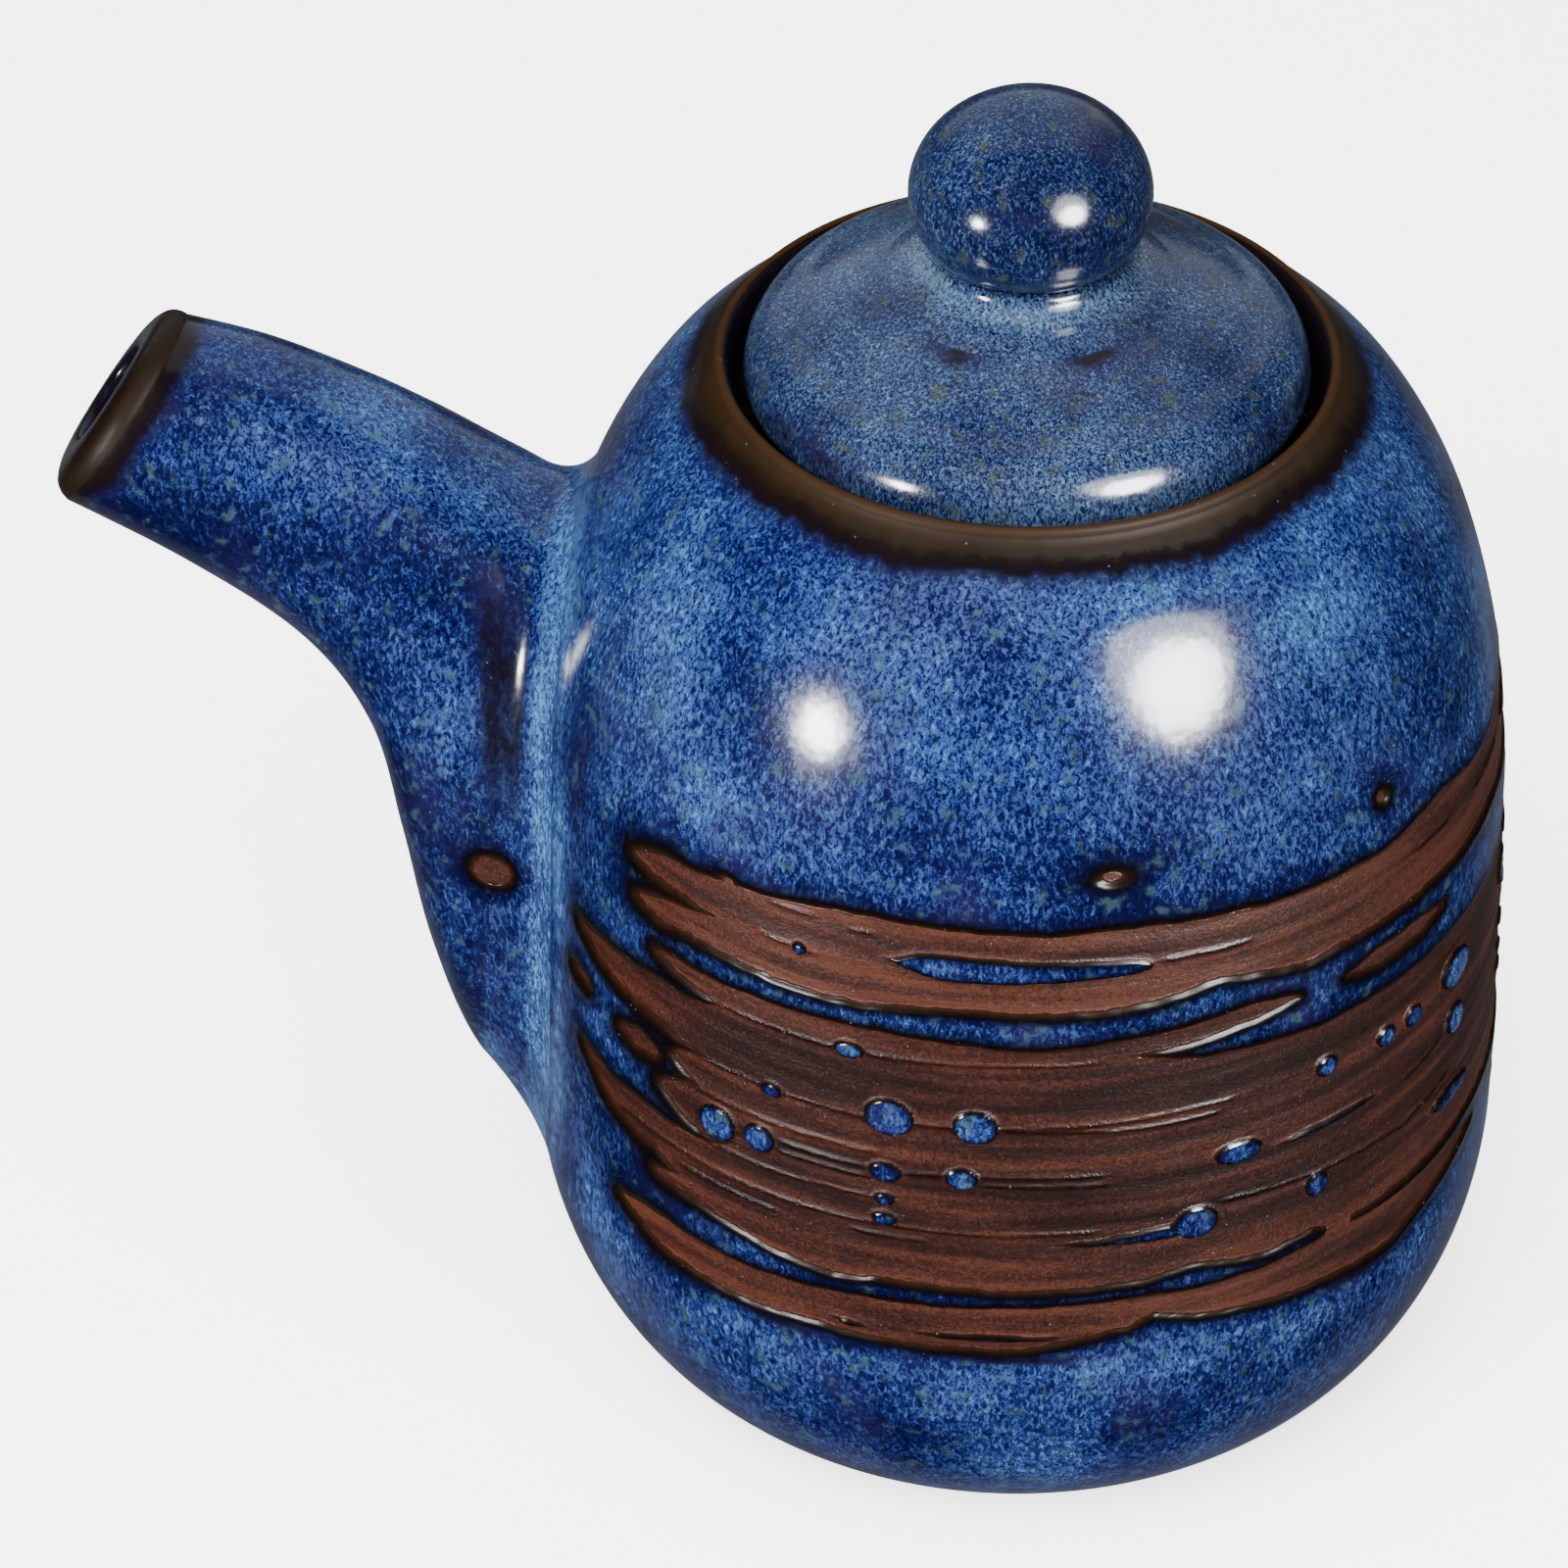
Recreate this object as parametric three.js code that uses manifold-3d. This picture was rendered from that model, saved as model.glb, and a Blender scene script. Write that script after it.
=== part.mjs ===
// A lidded pouring pot for sake: a cast stoneware body with a hollow beak spout luted to its side,
// and a domed lid with a ball knob, which drops into a gallery inside the mouth.
// Millimetres, +Z up. The origin is the centre of the flat foot, and the spout points along -X.
import * as THREE from 'three';
import { LoftGeometry } from 'three/addons/geometries/LoftGeometry.js';
import { mergeVertices } from 'three/addons/utils/BufferGeometryUtils.js';
import Module from 'manifold-3d';

const wasm = await Module();
wasm.setup();

// Driving dimensions
const BODY_RADIUS = 40;
const WALL = 3.8;
const FOOT_RADIUS = 24;
const FLOOR_THICKNESS = 4.5;
const BELLY_HEIGHT = 24;
const LIP_HEIGHT = 94.3;
const LIP_RADIUS = 24.2;
const MOUTH_RADIUS = 22.6;
const GALLERY_DEPTH = 3.5;
const THROAT_RADIUS = 19.5;
const JOINT_GAP = 0.3;

const LID_RADIUS = 21.85;
const LID_DOME_RISE = 7.6;
const LID_THICKNESS = 3.6;
const FLANGE_RADIUS = 18.9;
const FLANGE_WALL = 2.6;
const FLANGE_DEPTH = 6.8;

const KNOB_RADIUS = 9.3;
const KNOB_HALF_HEIGHT = 7.7;
const KNOB_CENTRE_HEIGHT = 108.6;
const KNOB_COLLAR_RADIUS = 9.4;
const KNOB_NECK_RADIUS = 6.8;

const SPOUT_TIP_REACH = 72;
const SPOUT_TIP_HEIGHT = 82.4;
const SPOUT_TIP_RADIUS = 8.8;
const SPOUT_TIP_TILT = 40;
const SPOUT_WALL = 3.7;
const SPOUT_ROOT_HALF_WIDTH = 15;
const PORT_HALF_WIDTH = 8;
const PORT_HALF_HEIGHT = 20;
const PORT_HEIGHT = 46;

const BODY_SEGMENTS = 48;
const LID_SEGMENTS = 40;
const KNOB_SEGMENTS = 28;
const SPOUT_RINGS = 18;
const SPOUT_SIDES = 24;

const GLAZE_BLUE = 0x2f4f8f;
const LID_BLUE = 0x35557f;

const galleryFloor = LIP_HEIGHT - GALLERY_DEPTH;
const point = (radius, height) => new THREE.Vector2(radius, height);
const smooth = (points, count) => new THREE.SplineCurve(points).getPoints(count);

// A solid of revolution about +Z from a profile that starts and ends on the axis.
function turned(profile, segments) {
  return new THREE.LatheGeometry(profile, segments).rotateX(Math.PI / 2);
}

// The rounded belly above the foot, a quarter of an ellipse from a floor height up to the wall.
function belly(inset, floor, steps) {
  const curve = [];
  for (let step = 0; step < steps; step++) {
    const angle = (Math.PI / 2) * (step / steps);
    const radius = FOOT_RADIUS - inset + (BODY_RADIUS - FOOT_RADIUS) * Math.sin(angle);
    curve.push(point(radius, floor + (BELLY_HEIGHT - floor) * (1 - Math.cos(angle))));
  }
  return curve;
}

// The outside of the pot from the foot to the lip, pushed out by a margin.
function bodyOutside(margin) {
  const wall = smooth([
    point(BODY_RADIUS, BELLY_HEIGHT),
    point(0.998 * BODY_RADIUS, 36),
    point(0.988 * BODY_RADIUS, 48),
    point(0.97 * BODY_RADIUS, 60),
    point(0.935 * BODY_RADIUS, 70),
    point(0.858 * BODY_RADIUS, 80.2),
    point(0.745 * BODY_RADIUS, 88.2),
    point(LIP_RADIUS, LIP_HEIGHT - 0.8),
  ], 16);
  return [...belly(0, 0, 7), ...wall].map((p) => point(p.x + margin, p.y));
}

// The inside of the pot from the throat down to the floor.
function bodyInside() {
  const wall = smooth([
    point(THROAT_RADIUS, galleryFloor - 3),
    point(0.76 * BODY_RADIUS - WALL, 82.5),
    point(0.9 * BODY_RADIUS - WALL, 73),
    point(0.97 * BODY_RADIUS - WALL, 60),
    point(0.988 * BODY_RADIUS - WALL, 48),
    point(0.998 * BODY_RADIUS - WALL, 36),
    point(BODY_RADIUS - WALL, BELLY_HEIGHT),
  ], 12);
  return [...wall, ...belly(WALL, FLOOR_THICKNESS, 6).reverse()];
}

// Body, shoulder, rounded lip, the gallery that holds the lid and the throat, as one thrown shell.
function potShell() {
  const profile = [
    point(0, 0),
    ...bodyOutside(0),
    point(LIP_RADIUS - 0.8, LIP_HEIGHT),
    point(MOUTH_RADIUS + 0.5, LIP_HEIGHT - 0.1),
    point(MOUTH_RADIUS, LIP_HEIGHT - 0.7),
    point(MOUTH_RADIUS, galleryFloor),
    point(THROAT_RADIUS, galleryFloor),
    ...bodyInside(),
    point(0, FLOOR_THICKNESS),
  ];
  return turned(profile, BODY_SEGMENTS);
}

// The whole volume of the pot with a joint's gap round it: what the spout's root is cut back to.
function potVolume() {
  const profile = [point(0, 0), ...bodyOutside(JOINT_GAP), point(0, LIP_HEIGHT)];
  return turned(profile, BODY_SEGMENTS);
}

// The two edges of the spout in its own upright plane, as reach from the pot's axis and height:
// the ridge along the top and the keel underneath, both from the tip to the root.
function spoutEdges() {
  const tilt = THREE.MathUtils.degToRad(SPOUT_TIP_TILT);
  const across = point(-Math.sin(tilt), Math.cos(tilt)).multiplyScalar(SPOUT_TIP_RADIUS);
  const tip = point(SPOUT_TIP_REACH, SPOUT_TIP_HEIGHT);
  const ridge = new THREE.SplineCurve([
    tip.clone().add(across),
    point(60.5, 88.5),
    point(54.3, 86.8),
    point(48.7, 84.5),
    point(44, 81.9),
    point(40, 79),
    point(36, 75.3),
    point(32, 70),
  ]);
  const keel = new THREE.SplineCurve([
    tip.clone().sub(across),
    point(66.3, 70),
    point(57, 63.5),
    point(52.2, 54.5),
    point(50.2, 43.5),
    point(48.2, 32.5),
    point(44.6, 22),
    point(38.2, 14),
  ]);
  return { ridge, keel };
}

// Signed power of a sine or cosine: below 1 it fills an ellipse out towards a rounded box.
function fuller(value, power) {
  return Math.sign(value) * Math.abs(value) ** power;
}

// One section of the spout, round at the tip and tall with fuller sides at the root.
// A wall taken off it gives the section of the channel.
function spoutSection(edges, along, wall) {
  const top = edges.ridge.getPoint(along);
  const bottom = edges.keel.getPoint(along);
  const centre = top.clone().add(bottom).multiplyScalar(0.5);
  const upward = top.clone().sub(bottom).normalize();
  const growth = along * along * (3 - 2 * along);
  const halfHeight = top.distanceTo(bottom) / 2 - wall;
  const halfWidth = SPOUT_TIP_RADIUS + (SPOUT_ROOT_HALF_WIDTH - SPOUT_TIP_RADIUS) * growth - wall;
  const fullness = 1 - 0.18 * growth;
  const ring = [];
  for (let side = 0; side < SPOUT_SIDES; side++) {
    const turn = (2 * Math.PI * side) / SPOUT_SIDES;
    const rise = halfHeight * fuller(Math.cos(turn), fullness);
    const across = -halfWidth * fuller(Math.sin(turn), fullness);
    ring.push(new THREE.Vector3(-(centre.x + upward.x * rise), across, centre.y + upward.y * rise));
  }
  return ring;
}

// A closed loft along the spout. With a lead, it first runs straight out past the tip by that much.
function spoutLoft(wall, lead) {
  const edges = spoutEdges();
  const tilt = THREE.MathUtils.degToRad(SPOUT_TIP_TILT);
  const outward = new THREE.Vector3(-Math.cos(tilt), 0, Math.sin(tilt));
  const sections = [];
  for (let ring = 0; ring <= SPOUT_RINGS; ring++) {
    sections.push(spoutSection(edges, ring / SPOUT_RINGS, wall));
  }
  if (lead > 0) {
    sections.unshift(sections[0].map((p) => p.clone().addScaledVector(outward, lead)));
  }
  return new LoftGeometry(sections, { capStart: true, capEnd: true });
}

// The oval port through the pot's wall behind the spout.
function portCutter() {
  const length = 20;
  const port = new THREE.CylinderGeometry(1, 1, length, SPOUT_SIDES);
  port.scale(PORT_HALF_WIDTH, 1, PORT_HALF_HEIGHT);
  port.rotateZ(Math.PI / 2);
  port.translate(-BODY_RADIUS, 0, PORT_HEIGHT);
  return port;
}

// Closed geometry to solid and back, for the cuts.
function toSolid(geometry) {
  const bare = new THREE.BufferGeometry();
  bare.setAttribute('position', geometry.attributes.position);
  bare.setIndex(geometry.index);
  const merged = mergeVertices(bare, 1e-4);
  const corners = merged.index.array;
  const triangles = [];
  for (let i = 0; i < corners.length; i += 3) {
    const [a, b, c] = [corners[i], corners[i + 1], corners[i + 2]];
    if (a !== b && b !== c && c !== a) triangles.push(a, b, c);
  }
  const mesh = new wasm.Mesh({
    numProp: 3,
    vertProperties: new Float32Array(merged.attributes.position.array),
    triVerts: new Uint32Array(triangles),
  });
  return new wasm.Manifold(mesh);
}

function toGeometry(solid) {
  const mesh = solid.getMesh();
  const geometry = new THREE.BufferGeometry();
  geometry.setAttribute('position', new THREE.BufferAttribute(mesh.vertProperties, 3));
  geometry.setIndex(new THREE.BufferAttribute(mesh.triVerts, 1));
  geometry.computeVertexNormals();
  return geometry;
}

function potBody() {
  return toGeometry(toSolid(potShell()).subtract(toSolid(portCutter())));
}

function spout() {
  const skin = toSolid(spoutLoft(0, 0));
  const channel = toSolid(spoutLoft(SPOUT_WALL, 3));
  return toGeometry(skin.subtract(channel).subtract(toSolid(potVolume())));
}

// Domed lid: a flat seat for the knob on top, a rounded rim that rests in the gallery,
// and a ring flange underneath that keeps it from tipping out when the pot pours.
function lid() {
  const rimFloor = galleryFloor + JOINT_GAP;
  const rimTop = rimFloor + 4.3;
  const dome = (radius) => rimTop + LID_DOME_RISE * (1 - (radius / LID_RADIUS) ** 2);
  const flangeInside = FLANGE_RADIUS - FLANGE_WALL;
  const underside = (radius) => dome(radius) - LID_THICKNESS;
  const seat = dome(KNOB_COLLAR_RADIUS + 0.4);
  const profile = [
    point(0, seat - LID_THICKNESS),
    point(KNOB_COLLAR_RADIUS, underside(KNOB_COLLAR_RADIUS + 0.4)),
    point(flangeInside, underside(flangeInside)),
    point(flangeInside, rimFloor - FLANGE_DEPTH),
    point(FLANGE_RADIUS, rimFloor - FLANGE_DEPTH),
    point(FLANGE_RADIUS, rimFloor),
    point(LID_RADIUS - 1.3, rimFloor),
    point(LID_RADIUS - 0.3, rimFloor + 1),
    point(LID_RADIUS, rimFloor + 2.4),
    point(LID_RADIUS - 0.3, rimFloor + 3.7),
    point(LID_RADIUS - 1.3, dome(LID_RADIUS - 1.3) - 0.2),
    point(18, dome(18)),
    point(15, dome(15)),
    point(12, dome(12)),
    point(KNOB_COLLAR_RADIUS + 0.4, seat),
    point(0, seat),
  ];
  return { geometry: turned(profile, LID_SEGMENTS), seat };
}

// Ball knob with a flared collar at its foot and a pinched neck between the two.
function lidKnob(seat) {
  const foot = seat + JOINT_GAP;
  const neckHeight = foot + 2.3;
  const dip = (neckHeight - KNOB_CENTRE_HEIGHT) / KNOB_HALF_HEIGHT;
  const startAngle = Math.asin(dip);
  const profile = [
    point(0, foot),
    point(KNOB_COLLAR_RADIUS, foot),
    point(KNOB_COLLAR_RADIUS - 1.3, foot + 0.6),
    point(KNOB_NECK_RADIUS + 0.4, foot + 1.5),
    point(KNOB_NECK_RADIUS - 0.3, neckHeight - 0.2),
  ];
  const steps = 12;
  for (let step = 0; step < steps; step++) {
    const angle = startAngle + ((Math.PI / 2 - startAngle) * step) / steps;
    const height = KNOB_CENTRE_HEIGHT + KNOB_HALF_HEIGHT * Math.sin(angle);
    profile.push(point(KNOB_RADIUS * Math.cos(angle), height));
  }
  profile.push(point(0, KNOB_CENTRE_HEIGHT + KNOB_HALF_HEIGHT));
  return turned(profile, KNOB_SEGMENTS);
}

function piece(name, geometry, color, roughness) {
  const material = new THREE.MeshStandardMaterial({ color, roughness, metalness: 0 });
  const mesh = new THREE.Mesh(geometry, material);
  mesh.name = name;
  return mesh;
}

const pot = new THREE.Group();
pot.add(piece('pot_body', potBody(), GLAZE_BLUE, 0.15));
pot.add(piece('spout', spout(), GLAZE_BLUE, 0.15));

const cover = new THREE.Group();
const lidShape = lid();
cover.add(piece('lid', lidShape.geometry, LID_BLUE, 0.18));
cover.add(piece('lid_knob', lidKnob(lidShape.seat), LID_BLUE, 0.18));

const sakePot = new THREE.Group();
sakePot.add(pot, cover);

export default sakePot;
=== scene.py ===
"""Looks of a lidded stoneware sake pot: blue kiln-change glaze over a body with a brushed bare band.

Lengths in the constants are millimetres, angles are degrees. The pot stands on z = 0, its axis is
the Z axis and the spout points along -X. Angles round the pot are measured from +X.
"""

import math

import bpy
import numpy as np
from mathutils import Matrix, Vector


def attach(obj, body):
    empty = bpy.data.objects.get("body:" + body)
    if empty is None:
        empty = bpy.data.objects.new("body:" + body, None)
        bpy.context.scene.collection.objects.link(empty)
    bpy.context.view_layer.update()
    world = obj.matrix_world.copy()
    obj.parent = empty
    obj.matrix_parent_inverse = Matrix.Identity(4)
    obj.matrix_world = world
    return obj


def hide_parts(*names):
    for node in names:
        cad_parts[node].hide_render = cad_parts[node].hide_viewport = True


MM = 0.001

# Pot body, as in the CAD
BODY_RADIUS = 40
WALL = 3.8
FOOT_RADIUS = 24
FLOOR_THICKNESS = 4.5
BELLY_HEIGHT = 24
LIP_HEIGHT = 94.3
LIP_RADIUS = 24.2
MOUTH_RADIUS = 22.6
GALLERY_FLOOR = 90.8
THROAT_RADIUS = 19.5
PORT_HALF_WIDTH = 8
PORT_HALF_HEIGHT = 20
PORT_HEIGHT = 46

# Spout, a little fuller at its tip than in the CAD, as in the photograph. Its upper and lower edges
# are given as (reach from the axis, height)
SPOUT_TIP = (75, 81.3)
SPOUT_TIP_RADIUS = 8.8
SPOUT_TIP_TILT = 40
SPOUT_WALL = 3.7
SPOUT_RIM_WALL = 4.5
SPOUT_ROOT_HALF_WIDTH = 15
SPOUT_RIDGE = [(61.8, 87), (54.3, 84.3), (48.7, 81.6), (44, 79), (40, 76.7), (36, 74), (32, 70)]
SPOUT_KEEL = [(67.4, 68), (57.6, 61.6), (52.3, 53.8), (50.2, 43.5), (48.2, 32.5), (44.6, 22),
              (38.2, 14)]
TIP_STEP = 0.02
FILLET = 6.2

# The spout's rim from its inner to its outer edge: (share of the wall, share of the rounding)
RIM_ROUNDING = 2.1
RIM_SHAPE = [(0, 0), (0.01, 0.72), (0.08, 0.93), (0.28, 1), (0.58, 0.95), (0.84, 0.7), (0.96, 0.36),
             (1, 0)]

# A bare spot on the spout's side: its middle and its half sizes
SPOUT_CHIP = (-40.6, -14.2, 48.8)
SPOUT_CHIP_SIZE = (1.7, 3, 1.4)

# Lid and knob, as in the CAD, and the angle of the side that the photograph shows
LID_RADIUS = 21.85
LID_FLOOR = 91.1
LID_TOP = 95.4
LID_DOME_RISE = 7.6
LID_THICKNESS = 3.6
FLANGE_RADIUS = 18.9
FLANGE_WALL = 2.6
FLANGE_DEPTH = 6.8
KNOB_RADIUS = 9.3
KNOB_HALF_HEIGHT = 7.7
KNOB_CENTRE_HEIGHT = 108.6
KNOB_COLLAR_RADIUS = 10.6
KNOB_NECK_RADIUS = 6.85
KNOB_NECK_HEIGHT = 104.2
FRONT_ANGLE = -83

# Mesh fineness. The rows are finest over the brushed band.
POT_COLUMNS = 960
COARSE_STEP = 4
BAND_HEIGHTS = (24, 74)
FINE_ROW = 0.21
PLAIN_ROW = 0.6
SPOUT_SIDES = 240
LID_COLUMNS = 360

# Where the glaze ends or runs thin, and painted shade drawn as dark glaze. Thinness goes from 0, blue, to
# 1, brown.
FOOT_LINE = 1.3
BARE_LIP_HEIGHT = 93.1
# Painted shade: near-black glaze on the lip's inner slope in the gap under the lid, and inside the pot and
# down the spout's bore, where the real glaze colour is partly guessed.
MOUTH_GAP_SHADE = 0.47
INSIDE_GLAZE_AND_SHADE = 0.55
PORT_THINNESS = 0.6
DARK_RUN_THINNESS = 0.44
SPOUT_TIP_THINNESS = 0.68
FLANK_THINNESS = 0.4

# How far inside bare clay a point is, in millimetres, for whole surfaces
ALL_GLAZED = -4.0
ALL_BARE = 2.0
LID_UNDERSIDE_BARE = 1.5
NOWHERE = -9.0

# Glaze relief
GLAZE_DEPTH = 0.25
BEAD_RISE = 0.05
ISLAND_RISE = 0.22
ISLAND_MARGIN = 0.3
END_ROUNDING = 3
RIDGE_RISE = 0.21
RIDGE_HALF_WIDTH = 0.16
MM_PER_DEGREE = BODY_RADIUS * math.pi / 180

# The unseen side of the brushed band, borrowed from the seen side
FAR_SIDE_STRETCH = 0.97
FAR_SIDE_TURN = 96
FAR_SIDE_DRIFT = 1.3

# Bare brush strokes: (angle, upper edge, lower edge). A stroke that ends at 10 runs on to the far side.
STROKES = [
    [(-132, 64.1, 63.3), (-127, 65.1, 62.9), (-122, 65.4, 62.7), (-116, 66, 62.3), (-110, 66.4, 62),
     (-103, 67, 62), (-96, 67.2, 62), (-90, 67, 62), (-77, 66.7, 62), (-67, 67, 62), (-50, 66.4, 62),
     (-35, 66.2, 62), (-23, 67, 62), (-12, 65.8, 62), (10, 65.8, 62)],
    [(-131, 60.4, 59.8), (-126.5, 61.2, 59.5), (-122, 61.9, 59.7), (-117, 62.5, 59.6), (-103, 62.7, 59.3),
     (-90, 62.8, 60), (-70, 62.8, 60.1), (-58, 62.8, 61.2), (-47, 62.8, 60), (10, 62.8, 60.2)],
    [(-127, 56.6, 56), (-121, 56.6, 55.2), (-117, 56.6, 54.5), (-110, 56.8, 54.9), (-91, 56.9, 55.2),
     (-80, 56.4, 55.4), (-67, 57, 55.5), (-55, 57.8, 56.4), (-48, 57.3, 56.9)],
    [(-41, 56.9, 56.7), (-36, 57.6, 56.2), (-28, 57.5, 56.3), (-23.5, 57, 56.8)],
    [(-142.5, 52.5, 51.9), (-136.5, 52.6, 50.6), (-131, 52.9, 50.1), (-126, 53.5, 49.8), (-121, 53.6, 49),
     (-116, 54.8, 48.5), (-110, 55.7, 48.5), (-71, 55.7, 48.5), (-60, 54.2, 48.5), (-45, 53.2, 48.5),
     (10, 52.8, 48.5)],
    [(-124, 48.2, 46.6), (-118, 48.8, 45.2), (10, 48.8, 45.2)],
    [(-126, 44.5, 43), (-120, 45.5, 41.2), (10, 45.5, 41)],
    [(-141, 40.9, 40.4), (-137.5, 40.4, 38.7), (-135, 40, 37.8), (-130.5, 40.1, 37.1), (-125.5, 39.9, 36.8),
     (-120, 40.2, 36.7), (-115, 41.4, 38), (10, 41.4, 38)],
    [(-127, 37.2, 36.5), (-124, 37.8, 35.6), (-118, 38.4, 34.6), (10, 38.4, 34.6)],
    [(-127, 34.7, 34.2), (-124, 35.2, 33.9), (-120, 35.5, 33.7), (-115, 35.5, 33.3), (-109, 35.5, 32.6),
     (-102, 35.5, 32.1), (-97, 35.5, 32.8), (-67, 35.5, 33), (-61, 35.5, 33.7), (-52, 35.5, 32.6),
     (-45, 35.5, 33.1), (-42, 35.5, 32), (10, 35.5, 32.2)],
    [(-133, 29.1, 28.4), (-126, 29.6, 26.7), (-120, 29.6, 26.2), (-113, 29.6, 26), (-105, 30, 26.5),
     (-80, 30.9, 26.6), (-68, 31.2, 28.4), (-65, 31.2, 29.4), (-60, 31, 28.2), (-50, 31, 27.4),
     (-43, 31.4, 27), (-32, 30.8, 26.4), (-23, 30.6, 28), (-13, 30.1, 29.7)],
    [(-43, 33, 30.5), (-39, 33, 30.5)],
    [(-133, 46.6, 46), (-130, 47.3, 45.6), (-126.5, 46.9, 45.8)],
    [(-144, 47.5, 47), (-140.5, 47.3, 46.8)],
]

# Slivers of glaze left inside the strokes, as the strokes are given
SLIVERS = [
    [(-97, 63.9, 63.7), (-93, 64.7, 63), (-90, 64.9, 62.5), (-75, 64.5, 62.8), (-66, 64.4, 62.9)],
    [(-51, 43.3, 43.1), (-46, 43.6, 42.9), (-38, 43.6, 42.9), (-35, 43.3, 43.1)],
    [(-78, 37.5, 37.3), (-68, 38, 37), (-61, 38.6, 36.8)],
    [(-103, 27.5, 27.3), (-100, 27.7, 26.9), (-97.5, 27.4, 27.2)],
    [(-93, 27.7, 27.4), (-85, 28.1, 27.4), (-74.5, 27.8, 27.6)],
]

# Glaze beads inside the strokes, and bare chips outside them: (angle, height, width, height of bead)
ISLANDS = [
    (-95.7, 49.1, 3.8, 3.2), (-85.9, 49.1, 3.3, 2.9), (-43.8, 49.1, 1.9, 1.6), (-34.4, 48.6, 1.9, 1.6),
    (-29.4, 48.5, 1.9, 1.8), (-19.8, 49, 4.5, 3), (-117.3, 43, 3.4, 3), (-111.5, 43.4, 2.6, 2.4),
    (-96, 43.7, 2.5, 1.6), (-87.3, 44, 2.4, 1.8), (-55.5, 44, 4, 1.8), (-19.8, 43.9, 2.6, 2.6),
    (-60.5, 38, 3.5, 2.8), (-44.8, 37.6, 2, 2.1), (-20, 36.4, 6, 1.5), (-100.5, 54.8, 2.4, 1.2),
    (-96, 41, 1.5, 0.9), (-96, 39, 1.9, 1.1), (-107, 62.8, 1.1, 0.8), (-110, 48.6, 1.8, 1.1),
]
CHIPS = [(-70.8, 71.5, 1.6, 0.8), (-34, 70.8, 1, 0.9), (-117, 66.1, 1.1, 0.6)]

# Places beside the strokes where the glaze ran off and fired nearly black, as the beads are given
DARK_RUNS = [
    (-127.5, 48.6, 7.5, 3.6), (-125.6, 43.8, 4.2, 6), (-128, 36, 4.5, 4.4), (-140.5, 52.8, 4.6, 2.2),
    (-123.5, 54.6, 5, 1.8), (-131, 29.2, 4.4, 2.6), (-130.5, 64.3, 4, 2.2), (-130, 61, 4, 1.8),
    (-138, 41.2, 5, 1.8), (-80, 25.6, 22, 1.6), (-36, 25.6, 15, 2), (-108, 25.2, 16, 1.6),
]

# Thin raised lines of glaze between brush hairs: (angle, height)
RIDGES = [
    [(-113, 62.9), (-104, 62.7)],
    [(-112, 66), (-104.5, 66)],
    [(-102, 65.7), (-97, 65.7)],
    [(-66, 63.9), (-53, 63.8)],
    [(-29.5, 64), (-20, 64)],
    [(-15, 63.5), (10, 63.5)],
    [(-121, 54.6), (-101, 54.6), (-71, 55.2)],
    [(-131, 48.7), (-99, 48.6), (-70, 49.2), (-55, 49.5)],
    [(-84, 49), (-70, 48.4), (-57, 48.4)],
    [(-122, 45.3), (-96, 45.3)],
    [(-110, 43.8), (-97, 43.8)],
    [(-110, 42.8), (-97, 42.8)],
    [(-95, 43.7), (-87, 44.2), (-70, 44.2)],
    [(-86, 43.4), (-70, 43.2)],
    [(-32, 42.4), (-22, 43.4)],
    [(-140, 40.6), (-108, 40.6), (-96, 40.9)],
    [(-135, 38), (-97, 38.2), (-71, 38.6)],
    [(-58, 39.4), (-30, 38), (-20, 39)],
    [(-124, 36.6), (-108, 36.6)],
    [(-101, 37.2), (-90, 37.2)],
]

# The studio is so bright that its floor is white, so every colour of the pot is scaled down
UNDER_LIGHT = 0.165
GLAZE_ROUGHNESS = 0.1
CLAY_ROUGHNESS = 0.27
SHINE = 0.5
DULL_SHINE = 0.12
DUST_SPACING = 1.5

# Strengths of the glow that the glaze reflects, and of the backdrop that only the camera sees
FLOOR_GLOW = 2.0
SWEEP_DIRECTION = (-0.188, 0.982, 0)
SWEEP_SIDEWAYS = (0.982, 0.188, 0)
UPWARD = (0, 0, 1)
SWEEP_GLOW = 0.5
LOW_GLOW = 0.12
FRONT_GLOW = 0.03
BACKDROP_GLOW = 4.6

# Camera at the photograph's angle, millimetres and degrees
CAMERA_PLACE = (53.7, -381.8, 350.4)
CAMERA_TILT = 52.25
CAMERA_TURN = 10.83
CAMERA_ROLL = -0.491
CAMERA_LENS = 137.69


def tone(red, green, blue, strength=UNDER_LIGHT):
    """A colour given in sRGB bytes, as it looks, as the linear colour that shows so in this studio."""
    linear = []
    for byte in (red, green, blue):
        value = byte / 255
        flat = value / 12.92 if value <= 0.04045 else ((value + 0.055) / 1.055) ** 2.4
        linear.append(flat * strength)
    return (*linear, 1.0)


def smoothstep(low, high, value):
    share = np.clip((value - low) / (high - low), 0, 1)
    return share * share * (3 - 2 * share)


def spline(points, along):
    """Points on the Catmull-Rom curve through points, for an array of positions from 0 to 1."""
    points = np.array(points, float)
    last = len(points) - 1
    place = np.clip(np.asarray(along, float), 0, 1) * last
    index = np.minimum(place.astype(int), last - 1)
    t = (place - index)[..., None]
    before = points[np.maximum(index - 1, 0)]
    start, end = points[index], points[index + 1]
    after = points[np.minimum(index + 2, last)]
    slope_in, slope_out = (end - before) / 2, (after - start) / 2
    cubic = 2 * start - 2 * end + slope_in + slope_out
    square = -3 * start + 3 * end - 2 * slope_in - slope_out
    return cubic * t**3 + square * t**2 + slope_in * t + start


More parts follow.
